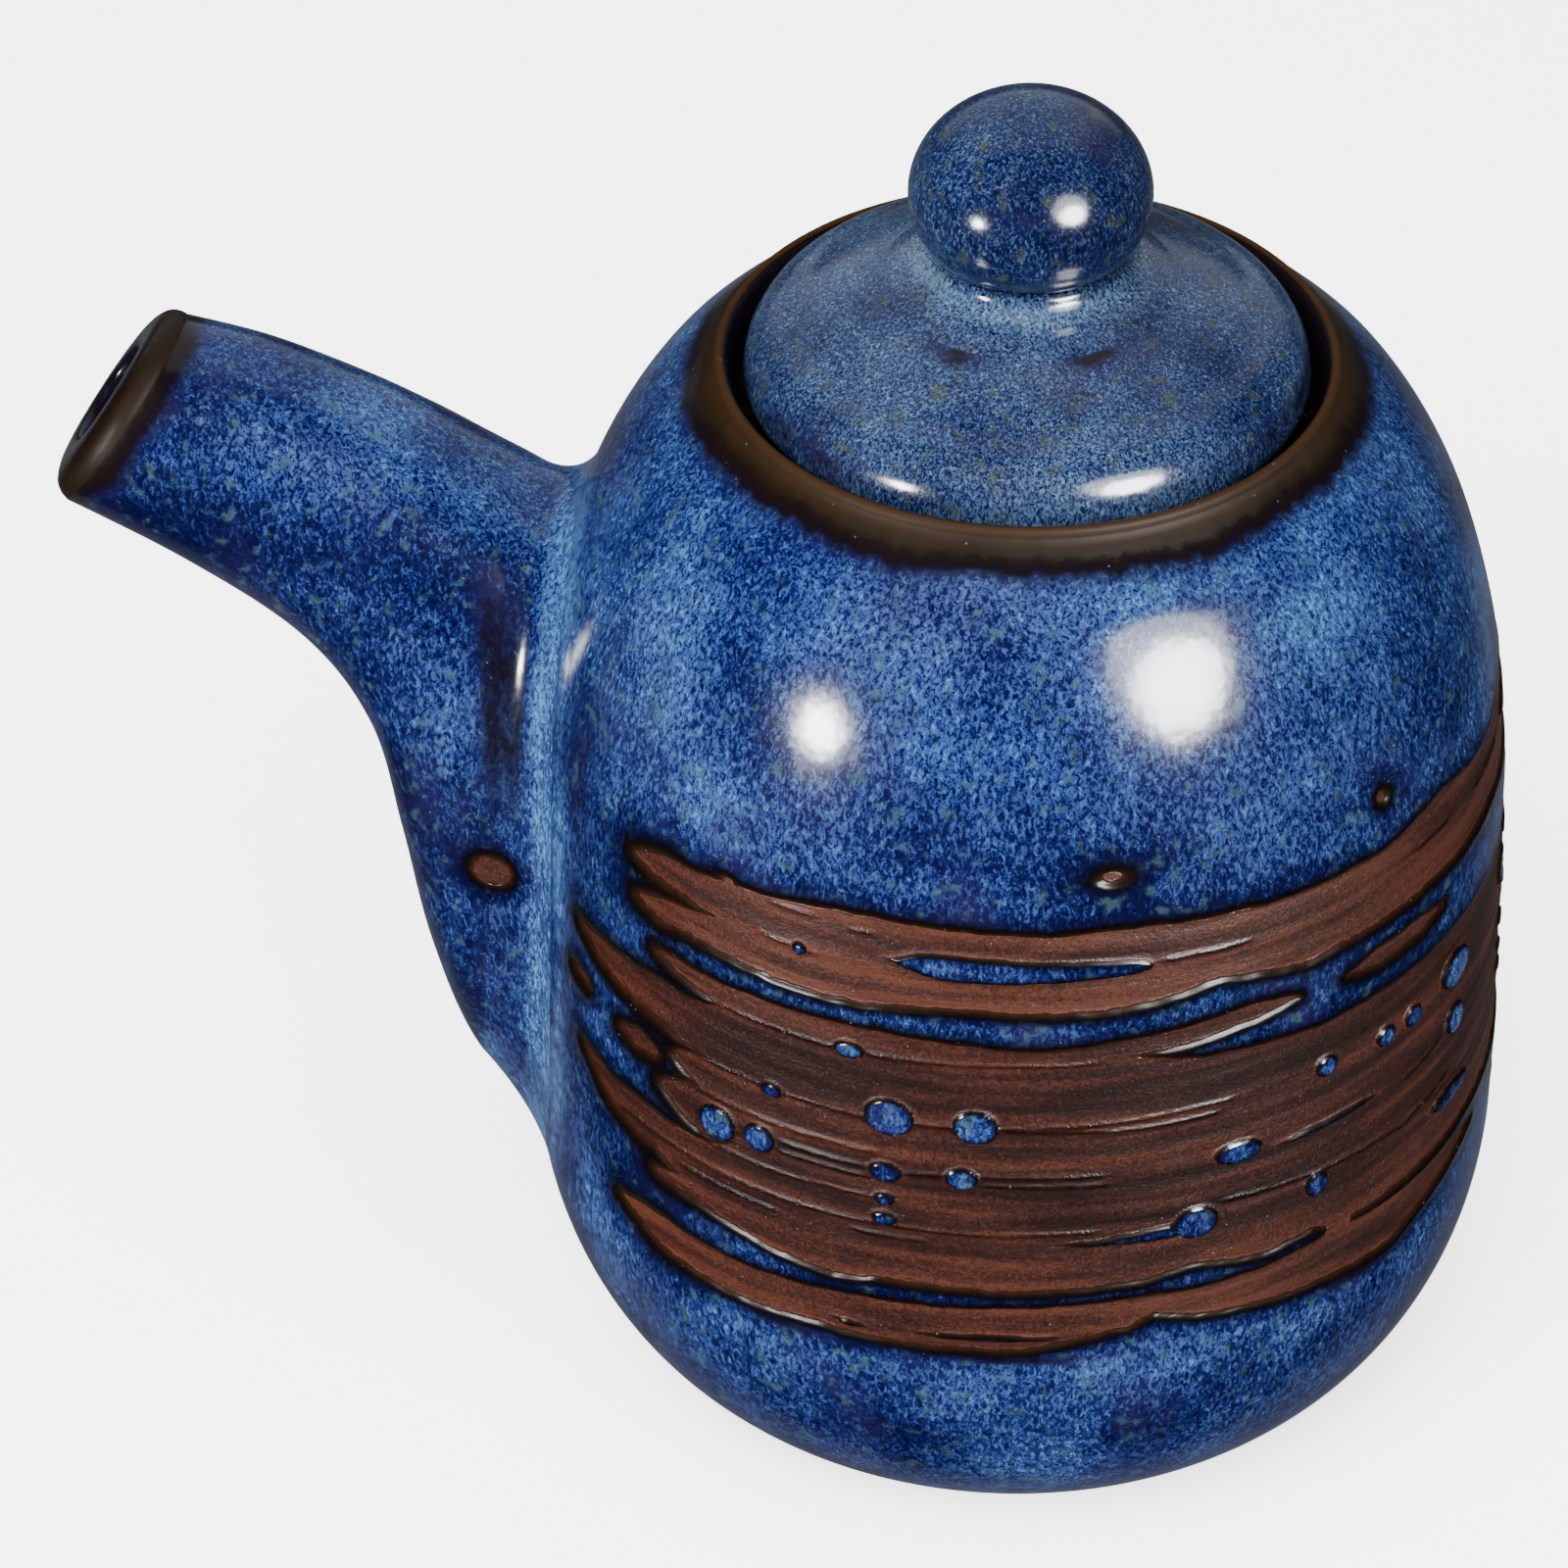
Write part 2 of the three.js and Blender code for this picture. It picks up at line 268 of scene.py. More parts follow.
def wobble(angle, seed, size=0.16):
    """A smooth closed wander round the pot, in millimetres, for an array of angles."""
    random = np.random.default_rng(seed)
    total = np.zeros_like(angle)
    for waves in (7, 13, 23, 41, 67, 97):
        phase = random.uniform(0, 2 * math.pi)
        total += np.sin(np.radians(angle) * waves + phase) * random.uniform(0.5, 1) / waves**0.4
    return total * size


# ---------------------------------------------------------------- profiles


def belly(inset, floor, steps):
    turn = np.linspace(0, math.pi / 2, steps, endpoint=False)
    radius = FOOT_RADIUS - inset + (BODY_RADIUS - FOOT_RADIUS) * np.sin(turn)
    height = floor + (BELLY_HEIGHT - floor) * (1 - np.cos(turn))
    return np.column_stack([radius, height])


def outside_profile():
    """The pot's outside from the foot to just under the lip, densely sampled."""
    wall = [(1, BELLY_HEIGHT), (0.998, 36), (0.988, 48), (0.97, 60), (0.935, 70), (0.858, 80.2),
            (0.745, 88.2), (LIP_RADIUS / BODY_RADIUS, LIP_HEIGHT - 0.8)]
    points = [(BODY_RADIUS * share, height) for share, height in wall]
    return np.vstack([belly(0, 0, 160), spline(points, np.linspace(0, 1, 400))])


def lip_profile():
    """Over the lip, in four gentle steps, and into the mouth."""
    points = [(LIP_RADIUS, LIP_HEIGHT - 0.8), (24.05, LIP_HEIGHT - 0.2), (23.65, LIP_HEIGHT),
              (23.2, LIP_HEIGHT - 0.35), (MOUTH_RADIUS, LIP_HEIGHT - 1.6)]
    return spline(points, np.linspace(0, 1, 14))[1:]


def inside_profile():
    """From the gallery down the throat and the inside wall to the middle of the floor."""
    gallery = [(MOUTH_RADIUS, 92.2), (MOUTH_RADIUS, GALLERY_FLOOR + 0.4), (22.2, GALLERY_FLOOR),
               (20.1, GALLERY_FLOOR), (THROAT_RADIUS, GALLERY_FLOOR - 0.6), (THROAT_RADIUS, 89.2)]
    wall = [(THROAT_RADIUS, GALLERY_FLOOR - 3), (26.6, 82.5), (32.2, 73), (35, 60), (35.72, 48),
            (36.12, 36), (36.2, BELLY_HEIGHT)]
    floor = belly(WALL, FLOOR_THICKNESS, 24)[::-1]
    middle = [(radius, FLOOR_THICKNESS) for radius in (16, 11, 6, 2, 0.05)]
    return np.vstack([gallery, spline(wall, np.linspace(0, 1, 60)), floor, middle])


OUTSIDE = outside_profile()


def body_radius(height):
    return np.interp(height, OUTSIDE[:, 1], OUTSIDE[:, 0])


def resample(profile, step_at):
    """The profile walked from its start in steps whose length step_at gives for each height."""
    gaps = np.hypot(*np.diff(profile, axis=0).T)
    length = np.concatenate([[0], np.cumsum(gaps)])
    places = [0.0]
    while places[-1] < length[-1]:
        height = np.interp(places[-1], length, profile[:, 1])
        places.append(places[-1] + step_at(height))
    places = np.array(places) * length[-1] / places[-1]
    return np.column_stack([np.interp(places, length, profile[:, k]) for k in (0, 1)])


def profile_normals(profile):
    along = np.gradient(profile, axis=0)
    along /= np.maximum(np.hypot(along[:, 0], along[:, 1]), 1e-9)[:, None]
    return np.column_stack([along[:, 1], -along[:, 0]])


# ---------------------------------------------------------------- meshes


def grid_faces(rows, columns, first=0):
    """Quads of a closed ring grid, facing right of the profile's direction of travel."""
    row, column = np.meshgrid(np.arange(rows - 1), np.arange(columns), indexing="ij")
    beside = (column + 1) % columns
    corner = first + row * columns
    quads = [corner + column, corner + beside, corner + columns + beside, corner + columns + column]
    return np.stack(quads, axis=-1).reshape(-1, 4)


def stitch_faces(fine, coarse, fine_count, coarse_first):
    """Triangles that join a ring of fine_count points to a ring with one for every COARSE_STEP."""
    triangles = []
    for k in range(fine_count // COARSE_STEP):
        near = coarse + k
        far = coarse + (k + 1) % (fine_count // COARSE_STEP)
        edge = [fine + (k * COARSE_STEP + i) % fine_count for i in range(COARSE_STEP + 1)]
        middle = COARSE_STEP // 2
        new = [(near, edge[i + 1], edge[i]) for i in range(middle)]
        new.append((near, far, edge[middle]))
        new += [(far, edge[i + 1], edge[i]) for i in range(middle, COARSE_STEP)]
        triangles += [face[::-1] for face in new] if not coarse_first else new
    return triangles


def make_piece(name, points, faces, values, material, body):
    """A smooth mesh from points in millimetres, with a float attribute for each entry of values."""
    mesh = bpy.data.meshes.new(name)
    mesh.from_pydata((np.asarray(points) * MM).tolist(), [], faces)
    mesh.shade_smooth()
    for label, value in values.items():
        layer = mesh.attributes.new(label, "FLOAT", "POINT")
        layer.data.foreach_set("value", np.asarray(value, np.float32).ravel())
    mesh.materials.append(material)
    piece = bpy.data.objects.new(name, mesh)
    bpy.context.scene.collection.objects.link(piece)
    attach(piece, body)
    return piece


def turned_points(profile, angles):
    """A lathe grid: one row of points for each profile point, one column for each angle."""
    turn = np.radians(angles)
    x = profile[:, :1] * np.cos(turn)
    y = profile[:, :1] * np.sin(turn)
    z = np.repeat(profile[:, 1:], len(turn), axis=1)
    return np.stack([x, y, z], axis=-1)


# ---------------------------------------------------------------- brushed band


def stroke_inside(angle, height, path, seed, size=0.16):
    """How far inside a stroke each point is, in millimetres. Outside it is negative."""
    angles, tops, bottoms = np.array(path).T
    top = np.interp(angle, angles, tops) + wobble(angle, seed, size)
    bottom = np.interp(angle, angles, bottoms) + wobble(angle, seed + 500, size)
    end = np.minimum(angle - angles[0], angles[-1] - angle) * MM_PER_DEGREE
    half = (top - bottom) / 2
    aside = np.abs(height - (top + bottom) / 2)
    rounding = np.sqrt(1 - (1 - np.clip(end / END_ROUNDING, 0, 1)) ** 2)
    return np.where(end > 0, half * rounding - aside, -np.hypot(end, aside))


def oval_inside(angle, height, oval):
    """How far inside an oval spot each point is, in millimetres."""
    middle, level, width, tall = oval
    across = (angle - middle) * MM_PER_DEGREE / (width / 2)
    upward = (height - level) / (tall / 2)
    return (1 - np.hypot(across, upward)) * min(width, tall) / 2


def ridge_strength(angle, height, path):
    """How strongly a thin raised line shows at each point, from 0 to 1."""
    angles, levels = np.array(path, float).T
    level = np.interp(angle, angles, levels) + wobble(angle, len(path) + int(levels[0] * 10), 0.07)
    ends = np.minimum(angle - angles[0], angles[-1] - angle) * MM_PER_DEGREE
    thickness = RIDGE_HALF_WIDTH * (1 + wobble(angle, int(levels[0] * 7), 0.35))
    return np.exp(-(((height - level) / thickness) ** 2)) * smoothstep(0, 1.5, ends)


def band_fields(angle, height):
    """Depth inside bare clay, depth inside a bead and ridge strength, at angles of the seen side."""
    bare = np.full(height.shape, NOWHERE)
    for seed, path in enumerate(STROKES):
        bare = np.maximum(bare, stroke_inside(angle, height, path, seed))
    for chip in CHIPS:
        bare = np.maximum(bare, oval_inside(angle, height, chip))
    glazed = np.full(height.shape, NOWHERE)
    for seed, path in enumerate(SLIVERS):
        glazed = np.maximum(glazed, stroke_inside(angle, height, path, 100 + seed, 0.1))
    beads = np.full(height.shape, NOWHERE)
    for middle, level, width, tall in ISLANDS:
        oval = (middle, level, width + ISLAND_MARGIN, tall + ISLAND_MARGIN)
        beads = np.maximum(beads, oval_inside(angle, height, oval))
    run_out = 1 - 0.45 * smoothstep(-114, -128, angle)
    bare = np.where(bare < 0, bare * run_out, bare)
    clay = np.minimum(bare, -np.maximum(2.4 * glazed, 4.5 * beads))
    ridge = np.zeros(height.shape)
    for path in RIDGES:
        ridge = np.maximum(ridge, ridge_strength(angle, height, path))
    return clay, beads, ridge


def brushed_band(angles, heights):
    """The relief of the brushed band on a grid, and what its material needs to know.

    The unseen side borrows the seen side's strokes: first the same strokes turned round the pot, and
    then, where they run out at the spout, their mirror image."""
    drift = FAR_SIDE_DRIFT * smoothstep(0, 30, angles) * np.sin(np.radians(angles) * 2.5)
    height = heights[:, None] + drift[None, :]
    mirrored = np.where(angles > 40, -angles * FAR_SIDE_STRETCH, angles)
    seen = band_fields(mirrored[None, :], height)
    turned = band_fields(angles[None, :] - FAR_SIDE_TURN, height)
    share = smoothstep(-8, 5, angles) * (1 - smoothstep(70, 88, angles))
    clay, beads, ridge = (first + (second - first) * share for first, second in zip(seen, turned))
    ridge = ridge * smoothstep(-0.2, 0.3, clay)
    swing = 2 * np.sin(np.radians(angles) * 2)
    hairs = np.sin(height * 4.7 + swing) * np.sin(height * 7.9 + angles / 17)
    uncovered = smoothstep(-0.45, 0.12, clay)
    relief = -GLAZE_DEPTH * uncovered + 0.03 * hairs * uncovered
    relief += BEAD_RISE * np.exp(-(((clay + 0.7) / 0.35) ** 2))
    relief += ISLAND_RISE * np.sqrt(np.clip(beads, 0, 1.2) / 1.2)
    relief += RIDGE_RISE * ridge
    return relief, clay, ridge


# ---------------------------------------------------------------- spout shape


def spout_ring(along, sides, wall):
    """Points of the spout's cross-section, at positions along it from 0 at the tip to 1."""
    tilt = math.radians(SPOUT_TIP_TILT)
    across = np.array([-math.sin(tilt), math.cos(tilt)]) * SPOUT_TIP_RADIUS
    top = spline([np.array(SPOUT_TIP) + across, *SPOUT_RIDGE], along)
    bottom = spline([np.array(SPOUT_TIP) - across, *SPOUT_KEEL], along)
    centre = (top + bottom) / 2
    span = np.linalg.norm(top - bottom, axis=-1, keepdims=True)
    upward = (top - bottom) / span
    growth = along * along * (3 - 2 * along)
    half_width = SPOUT_TIP_RADIUS + (SPOUT_ROOT_HALF_WIDTH - SPOUT_TIP_RADIUS) * growth - wall
    fullness = 1 - 0.18 * growth
    cosine, sine = np.cos(sides), np.sin(sides)
    rise = (span[..., 0] / 2 - wall) * np.sign(cosine) * np.abs(cosine) ** fullness
    sideways = half_width * np.sign(sine) * np.abs(sine) ** fullness
    flat = centre + upward * rise[..., None]
    ring = np.stack([-flat[..., 0], sideways, flat[..., 1]], axis=-1)
    middle = np.stack([-centre[..., 0], np.zeros_like(rise), centre[..., 1]], axis=-1)
    return ring, middle


def outside_body(points):
    """Rough distance of points outside the pot's body, in millimetres."""
    return np.hypot(points[..., 0], points[..., 1]) - body_radius(points[..., 2])


def meeting_place(sides, wall, clearance):
    """For each side of the spout, the position along it where it comes within clearance of the body."""
    low, high = np.full(len(sides), 0.05), np.ones(len(sides))
    for _ in range(40):
        middle = (low + high) / 2
        ring, _ = spout_ring(middle, sides, wall)
        free = outside_body(ring) > clearance
        low = np.where(free, middle, low)
        high = np.where(free, high, middle)
    return low


def body_normal(points):
    reach = np.hypot(points[..., 0], points[..., 1])
    slope = (body_radius(points[..., 2] + 0.2) - body_radius(points[..., 2] - 0.2)) / 0.4
    normal = np.stack([points[..., 0] / reach, points[..., 1] / reach, -slope], axis=-1)
    return normal / np.linalg.norm(normal, axis=-1, keepdims=True)


def fillet_curves(sides):
    """Start on the spout, corner, and foot on the body of the luting fillet, for each side."""
    corner_at = meeting_place(sides, 0, 0)
    corner, _ = spout_ring(corner_at, sides, 0)
    nudge = 1e-3
    back, _ = spout_ring(corner_at - nudge, sides, 0)
    speed = np.linalg.norm(corner - back, axis=-1) / nudge
    start_at = corner_at - FILLET / speed
    turned_side, _ = spout_ring(corner_at, sides + 1e-3, 0)
    spout_normal = np.cross(turned_side - corner, corner - back)
    spout_normal /= np.linalg.norm(spout_normal, axis=-1, keepdims=True)
    _, middle = spout_ring(corner_at, sides, 0)
    facing = np.sum(spout_normal * (corner - middle), axis=-1, keepdims=True)
    spout_normal *= np.sign(facing)
    normal = body_normal(corner)
    away = spout_normal - normal * np.sum(spout_normal * normal, axis=-1, keepdims=True)
    away /= np.linalg.norm(away, axis=-1, keepdims=True)
    foot = corner + away * FILLET
    reach = np.hypot(foot[..., 0], foot[..., 1])
    shrink = (body_radius(foot[..., 2]) - 0.03) / reach
    foot[..., 0] *= shrink
    foot[..., 1] *= shrink
    return start_at, corner, foot


SIDES = np.linspace(0, 2 * math.pi, SPOUT_SIDES, endpoint=False)
FILLET_START, FILLET_CORNER, FILLET_FOOT = fillet_curves(SIDES)


# ---------------------------------------------------------------- pieces


def fillet_distance(points):
    """Distance in millimetres of pot points beyond the fillet's foot, as seen from the spout."""
    flat = points.reshape(-1, 3)
    near = flat[:, 0] < -15
    distance = np.full(len(flat), 99.0)
    chosen = flat[near]
    best = np.full(len(chosen), 99.0)
    for foot in FILLET_FOOT[::3]:
        best = np.minimum(best, np.linalg.norm(chosen - foot, axis=1))
    distance[near] = best
    return distance.reshape(points.shape[:-1])


def row_step(height):
    return FINE_ROW if BAND_HEIGHTS[0] < height < BAND_HEIGHTS[1] else PLAIN_ROW


def pot_surface(angles, profile):
    """The pot's outside with its relief, and how bare and how ridged each point is."""
    relief, clay, ridge = brushed_band(angles, profile[:, 1])
    foot_line = FOOT_LINE + wobble(angles, 77, 0.25)
    below_line = foot_line[None, :] - profile[:, 1:]
    clay = np.maximum(clay, np.clip(below_line, -9, 3))
    foot_relief = -GLAZE_DEPTH * smoothstep(-0.4, 0.1, below_line)
    relief = np.where(profile[:, 1:] < 4, foot_relief, relief)
    normals = turned_points(profile_normals(profile), angles)
    return turned_points(profile, angles) + normals * relief[..., None], clay, ridge


def pot_pooling(points, profile):
    """How thickly the glaze lies: pooled at the spout's fillet and thinner beside it; the glaze is also
    darker towards the foot.
    """
    beyond = fillet_distance(points)
    pooled = 0.95 * np.exp(-((beyond / 1.6) ** 2))
    drained = 0.25 * np.exp(-(((beyond - 4) / 1.4) ** 2))
    return pooled - drained - 0.6 * smoothstep(27, 12, profile[:, 1:])


def pot_thinness(angles, profile):
    """Where the glaze fired brown: over the lip and beside the brush strokes, with painted shade as
    near-black glaze in the mouth.
    """
    bare_lip = BARE_LIP_HEIGHT + wobble(angles, 5, 0.3)
    thin = smoothstep(-4, 2, profile[:, 1:] - bare_lip[None, :])
    # Painted shade: the lip's inner slope, in the gap under the lid, is drawn as near-black glaze.
    into_mouth = (profile[:, 0] < MOUTH_RADIUS + 0.8) & (profile[:, 1] > 90)
    thin[into_mouth] = MOUTH_GAP_SHADE
    for run in DARK_RUNS:
        inside = oval_inside(angles[None, :], profile[:, 1:], run)
        thin = np.maximum(thin, DARK_RUN_THINNESS * smoothstep(-0.5, 1.0, inside))
    return thin


def pot_faces(outer_rows, inner_rows, under_rows):
    """Faces of the fine outside, the coarser inside and underneath, and the seams between them."""
    coarse_count = POT_COLUMNS // COARSE_STEP
    inner_first = outer_rows * POT_COLUMNS
    under_first = inner_first + inner_rows * coarse_count
    faces = grid_faces(outer_rows, POT_COLUMNS).tolist()
    faces += stitch_faces((outer_rows - 1) * POT_COLUMNS, inner_first, POT_COLUMNS, False)
    faces += grid_faces(inner_rows, coarse_count, inner_first).tolist()
    faces += grid_faces(under_rows, coarse_count, under_first).tolist()
    faces += stitch_faces(0, under_first + (under_rows - 1) * coarse_count, POT_COLUMNS, True)
    return faces


def make_pot(material):
    """The whole pot body: fine outside with the brushed relief, coarser inside and underneath."""
    angles = np.linspace(-180, 180, POT_COLUMNS, endpoint=False)
    coarse_angles = angles[::COARSE_STEP]
    outer = np.vstack([resample(OUTSIDE, row_step), lip_profile()])
    inner = inside_profile()
    under = np.array([(0.05, 0.5), (8, 0.5), (16, 0.5), (20.5, 0.45), (21.2, 0.1), (21.8, 0), (23.2, 0)])
    surface, clay, ridge = pot_surface(angles, outer)
    grids = [surface, turned_points(inner, coarse_angles), turned_points(under, coarse_angles)]
    points = np.vstack([grid.reshape(-1, 3) for grid in grids])
    faces = without_port(points, pot_faces(len(outer), len(inner), len(under)))

    def whole(outside, inside=0.0, underneath=0.0):
        inside_values = np.full(len(inner) * len(coarse_angles), inside)
        underneath_values = np.full(len(under) * len(coarse_angles), underneath)
        return np.concatenate([outside.ravel(), inside_values, underneath_values])

    # Inside, glazed near-black: partly painted shade in the gap under the lid.
    values = {
        "clay": whole(clay, ALL_GLAZED, ALL_BARE),
        "ridge": whole(ridge),
        "pool": whole(pot_pooling(surface, outer)),
        "thin": whole(pot_thinness(angles, outer), INSIDE_GLAZE_AND_SHADE),
    }
    pot = make_piece("pot_skin", points, faces, values, material, "pot")
    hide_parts("pot_body")
    return pot


def without_port(points, faces):
    """The faces, less those inside the oval opening that lets the spout drink from the pot."""
    y = points[:, 1] / (PORT_HALF_WIDTH + 0.5)
    z = (points[:, 2] - PORT_HEIGHT) / (PORT_HALF_HEIGHT + 0.5)
    inside = (np.hypot(y, z) < 1) & (points[:, 0] < -20)
    return [face for face in faces if not inside[face[0]] or not inside[face[2]]]


def make_port_lining(material):
    """The rounded edge of the oval opening, through the pot's wall."""
    turn = np.linspace(0, 2 * math.pi, 96, endpoint=False)
    section = [(1.9, -0.2), (0.8, 0.12), (0.2, -0.3), (0, -1.2), (0, -2.6), (0.2, -3.5), (0.8, -3.95),
               (1.9, -3.6)]
    rows = []
    for widen, depth in section:
        y = (PORT_HALF_WIDTH + widen) * np.sin(turn)
        z = PORT_HEIGHT + (PORT_HALF_HEIGHT + widen) * np.cos(turn)
        reach = body_radius(z) + depth
        rows.append(np.stack([-np.sqrt(reach**2 - y**2), y, z], axis=-1))
    points = np.concatenate(rows)
    faces = grid_faces(len(section), len(turn)).tolist()
    count = len(points)
    values = {"clay": np.full(count, ALL_GLAZED), "ridge": np.zeros(count), "pool": np.zeros(count),
              "thin": np.full(count, PORT_THINNESS)}
    return make_piece("port_lining", points, faces, values, material, "pot")


def spout_channel(rim_at):
    """Rings of the channel from the pot's inside out to the rim, each with its pooling and thinness."""
    channel_end = meeting_place(SIDES, SPOUT_WALL, 0.05)
    rings = []
    for share in np.linspace(1, 0, 40):
        wall = SPOUT_WALL + (SPOUT_RIM_WALL - SPOUT_WALL) * (1 - share) ** 6
        ring, _ = spout_ring(rim_at + (channel_end - rim_at) * share, SIDES, wall)
        # Painted shade down the bore, drawn as near-black glaze.
        rings.append((ring, 0.0, INSIDE_GLAZE_AND_SHADE))
    return rings


def spout_rim(inner_ring, outer_ring):
    """Rings over the rounded rim, given as spout_channel's are."""
    tilt = math.radians(SPOUT_TIP_TILT)
    outward = np.array([-math.cos(tilt), 0, math.sin(tilt)])
    rings = []
    for share, rise in spline(RIM_SHAPE, np.linspace(0, 1, 26))[1:-1]:
        ring = inner_ring + (outer_ring - inner_ring) * share + outward * RIM_ROUNDING * rise
        rings.append((ring, 0.0, 0.43 + 0.24 * smoothstep(0.4, 0.9, share)))
    return rings


def upper_flank(ring):
    """The part of a ring where the glaze ran off beside the fillet: the spout's sides, up high."""
    return smoothstep(0.2, 0.8, np.abs(np.sin(SIDES))) * smoothstep(40, 64, ring[:, 2])


def spout_outside(rim_at, outer_ring):
    """Rings of the outside from the rim to the fillet, given as spout_channel's are."""
    rings = []
    ragged = 0.7 * np.sin(SIDES * 5) * np.sin(SIDES * 3 + 1) + 0.25 * np.sin(SIDES * 7 + 2)
    for share in np.linspace(0, 1, 100):
        ring, _ = spout_ring(rim_at + (FILLET_START - rim_at) * share, SIDES, 0)
        from_tip = np.linalg.norm(ring - outer_ring, axis=-1)
        to_fillet = np.linalg.norm(ring - FILLET_CORNER, axis=-1) - FILLET
        strip = np.exp(-np.maximum(to_fillet - 0.4, 0) / 3.6) * upper_flank(ring)
        brown_tip = smoothstep(4.8, -1.6, from_tip + ragged)
        # The glaze is also made darker on the spout's underside.
        pool = -0.4 * strip - smoothstep(0.5, -0.7, np.cos(SIDES))
        rings.append((ring, pool, np.maximum(SPOUT_TIP_THINNESS * brown_tip, FLANK_THINNESS * strip)))
    return rings


def spout_fillet(start):
    """Rings of the fillet, a curve from the spout's side down to the body."""
    rings = []
    for share in np.linspace(0, 1, 17)[1:]:
        left = 1 - share
        ring = left**2 * start + 2 * share * left * FILLET_CORNER + share**2 * FILLET_FOOT
        thin = FLANK_THINNESS * upper_flank(ring) * (1 - smoothstep(0.25, 0.52, share))
        rings.append((ring, 0.95 * smoothstep(0.36, 0.56, share), thin))
    return rings


def make_spout(material):
    """The spout: rounded rim, channel inside, and the fillet that lutes it to the body."""
    start = np.zeros(1)
    _, tip = spout_ring(start, start, 0)
    _, past_tip = spout_ring(start + TIP_STEP, start, 0)
    rim_at = TIP_STEP * RIM_ROUNDING / np.linalg.norm(tip - past_tip)
    outer_ring, _ = spout_ring(np.full(SPOUT_SIDES, rim_at), SIDES, 0)
    rings = spout_channel(rim_at)
    rings += spout_rim(rings[-1][0], outer_ring)
    rings += spout_outside(rim_at, outer_ring)
    rings += spout_fillet(rings[-1][0])

    points = np.array([ring for ring, pool, thin in rings])
    pools = np.array([np.broadcast_to(pool, SPOUT_SIDES) for ring, pool, thin in rings])
    thins = np.array([np.broadcast_to(thin, SPOUT_SIDES) for ring, pool, thin in rings])
    chip = 1 - np.linalg.norm((points - np.array(SPOUT_CHIP)) / np.array(SPOUT_CHIP_SIZE), axis=-1)
    clay = np.clip(chip * 1.5, ALL_GLAZED, 1)
    values = {"clay": clay, "ridge": np.zeros(clay.size), "pool": pools, "thin": thins}
    faces = grid_faces(len(points), SPOUT_SIDES).tolist()
    spout = make_piece("spout_skin", points.reshape(-1, 3), faces, values, material, "pot")
    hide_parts("spout")
    return spout


def lid_dome(radius):
    return LID_TOP + LID_DOME_RISE * (1 - (np.asarray(radius, float) / LID_RADIUS) ** 2)


def lid_wear_and_knob_reflection(angles, profile):
    """Painted reflection of the knob, as dark patches under its collar on the side that is seen, and a worn
    edge.
    """
    near_neck = np.exp(-(((profile[:, 0] - 11.9) / 1.3) ** 2)) * (profile[:, 1] > 96)
    from_front = np.abs(angles - FRONT_ANGLE)
    # Painted reflection of the knob in the glossy dome, either side of the front.
    knob_reflection = 0.34 * np.exp(-(((from_front - 27) / 13) ** 2)) + 0.16 * np.exp(-((from_front / 40) ** 2))
    edge = np.exp(-(((profile[:, 1] - 94.6) / 1.2) ** 2)) * (profile[:, 0] > 20)
    blotches = 0.3 * (0.5 + 0.5 * np.sin(np.radians(angles) * 3 + 2))
    return np.maximum(near_neck[:, None] * knob_reflection[None, :], edge[:, None] * blotches[None, :])


def make_lid(material):
    """The domed lid with its rounded rim, and the flange that keeps it in the mouth."""
    angles = np.linspace(-180, 180, LID_COLUMNS, endpoint=False)
    flange_inside = FLANGE_RADIUS - FLANGE_WALL
    flange_foot = LID_FLOOR - FLANGE_DEPTH
    under = [(0.05, lid_dome(0) - LID_THICKNESS), (9, lid_dome(9) - LID_THICKNESS),
             (flange_inside - 0.8, lid_dome(flange_inside) - LID_THICKNESS + 0.2),
             (flange_inside, lid_dome(flange_inside) - LID_THICKNESS - 0.6),
             (flange_inside, flange_foot + 0.8), (flange_inside + 0.6, flange_foot),
             (FLANGE_RADIUS - 0.6, flange_foot), (FLANGE_RADIUS, flange_foot + 0.7),
             (FLANGE_RADIUS, LID_FLOOR - 0.5), (FLANGE_RADIUS + 0.4, LID_FLOOR),
             (LID_RADIUS - 1.6, LID_FLOOR)]
    rim = spline([(LID_RADIUS - 1.6, LID_FLOOR), (LID_RADIUS - 0.45, LID_FLOOR + 0.6),
                  (LID_RADIUS, LID_FLOOR + 1.8), (LID_RADIUS - 0.31, LID_FLOOR + 3.6),
                  (LID_RADIUS - 1.2, LID_FLOOR + 5.15), (LID_RADIUS - 2.6, LID_FLOOR + 6.25),
                  (LID_RADIUS - 4.3, float(lid_dome(LID_RADIUS - 4.3))),
                  (16.4, float(lid_dome(16.4)))], np.linspace(0, 1, 56))
    radius = np.linspace(16, 0.05, 46)
    top = np.column_stack([radius, lid_dome(radius)])
    top[:, 1] = np.minimum(top[:, 1], 102.4)
    profile = np.vstack([np.array(under), rim[1:], top])
    points = turned_points(profile, angles)
    faces = grid_faces(len(profile), LID_COLUMNS).tolist()
    underneath = np.arange(len(profile)) < len(under)
    bareness = np.where(underneath, LID_UNDERSIDE_BARE, ALL_GLAZED)
    count = len(profile) * LID_COLUMNS
    # The thinness here also carries the painted reflection of the knob.
    values = {"clay": np.repeat(bareness, LID_COLUMNS), "ridge": np.zeros(count),
              "pool": np.zeros(count), "thin": lid_wear_and_knob_reflection(angles, profile)}
    lid = make_piece("lid_skin", points.reshape(-1, 3), faces, values, material, "cover")
    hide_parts("lid")
    return lid


